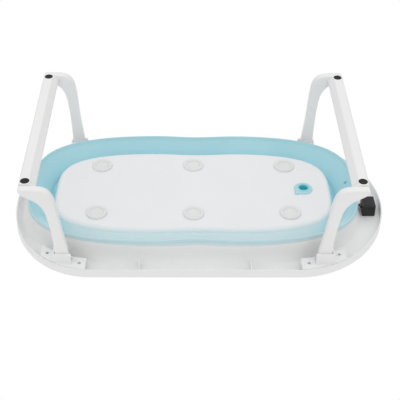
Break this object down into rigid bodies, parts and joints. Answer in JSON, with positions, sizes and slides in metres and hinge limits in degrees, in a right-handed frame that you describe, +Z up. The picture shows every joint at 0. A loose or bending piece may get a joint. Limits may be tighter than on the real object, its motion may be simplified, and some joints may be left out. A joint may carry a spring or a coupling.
{
  "type": "baby bathtub",
  "caption": "Collapsible baby bath: white rim and base joined by a soft folding wall, on two folding leg frames, with a drain plug and a bath thermometer.",
  "frame": {"origin": "on the floor, under the middle of the rim's outline", "axes": "+Z up as the bath stands in use, +X along the bath towards the drain and the thermometer, +Y across it"},
  "size_m": [0.81, 0.4622, 0.224],
  "materials": {
    "white_shell": "satin moulded",
    "white_moulding": "satin moulded",
    "white_leg": "satin moulded",
    "white_base": "fine matt grain",
    "soft_blue": "soft matt",
    "soft_white": "soft matt",
    "drain_blue": "soft matt",
    "foot_black": "matt",
    "black_plastic": "fine grain",
    "cable_black": "satin",
    "screw_steel": "zinc plated",
    "pin_steel": "turned",
    "cell_steel": "rolled",
    "contact_brass": "plated",
    "board_green": "solder mask",
    "display": "gloss",
    "clear_window": "clear gloss",
    "button_grey": "soft matt",
    "probe_grey": "satin"
  },
  "bodies": {
    "rim": {"rim_frame": "white_shell", "bellows_wall": "soft_blue", "leg_bracket_front_left": "white_moulding", "leg_bracket_front_right": "white_moulding", "leg_bracket_rear_left": "white_moulding", "leg_bracket_rear_right": "white_moulding", "bracket_screws": "screw_steel", "pivot_pins": "pin_steel", "thermometer_housing": "black_plastic", "thermometer_circuit_board": "board_green", "thermometer_lcd": "display", "thermometer_window": "clear_window", "thermometer_button_cells": "cell_steel", "thermometer_battery_contact": "contact_brass", "thermometer_screws": "screw_steel", "probe_cable": "cable_black"},
    "base": {"base_pan": "white_base", "base_pads": "soft_white", "drain_seat": "drain_blue"},
    "plug": {"drain_plug": "drain_blue"},
    "left_leg": {"left_leg_arm_front": "white_leg", "left_leg_arm_rear": "white_leg", "left_leg_crossbar": "white_leg", "left_leg_screws": "screw_steel", "left_foot_plugs": "foot_black"},
    "right_leg": {"right_leg_arm_front": "white_leg", "right_leg_arm_rear": "white_leg", "right_leg_crossbar": "white_leg", "right_leg_screws": "screw_steel", "right_foot_plugs": "foot_black"},
    "button": {"thermometer_button": "button_grey"},
    "battery_door": {"thermometer_battery_door": "black_plastic"},
    "probe": {"temperature_probe": "probe_grey"}
  },
  "joints": [
    {"name": "left_leg_fold", "type": "hinge", "parent": "rim", "child": "left_leg", "pos_m": [-0.284, 0, 0.188], "axis": [0, -1, 0], "range_deg": [0, 90]},
    {"name": "right_leg_fold", "type": "hinge", "parent": "rim", "child": "right_leg", "pos_m": [0.256, 0, 0.188], "axis": [0, 1, 0], "range_deg": [0, 90]},
    {"name": "base_slide", "type": "slide", "parent": "rim", "child": "base", "axis": [0, 0, 1], "range_m": [-0.13, 0], "deforming": ["bellows_wall"]},
    {"name": "plug_lift", "type": "slide", "parent": "base", "child": "plug", "axis": [0, 0, 1], "range_m": [0, 0.02]},
    {"name": "button_press", "type": "slide", "parent": "rim", "child": "button", "axis": [0, 0, -1], "range_m": [0, 0.001]},
    {"name": "battery_door_slide", "type": "slide", "parent": "rim", "child": "battery_door", "axis": [1, 0, 0], "range_m": [0, 0.022]},
    {"name": "probe_shift", "type": "slide", "parent": "rim", "child": "probe", "axis": [0, 0, 1], "range_m": [-0.0446, 0]}
  ],
  "couplings": [
    {"joint": "probe_shift", "follows": "base_slide", "ratio": 0.343}
  ]
}
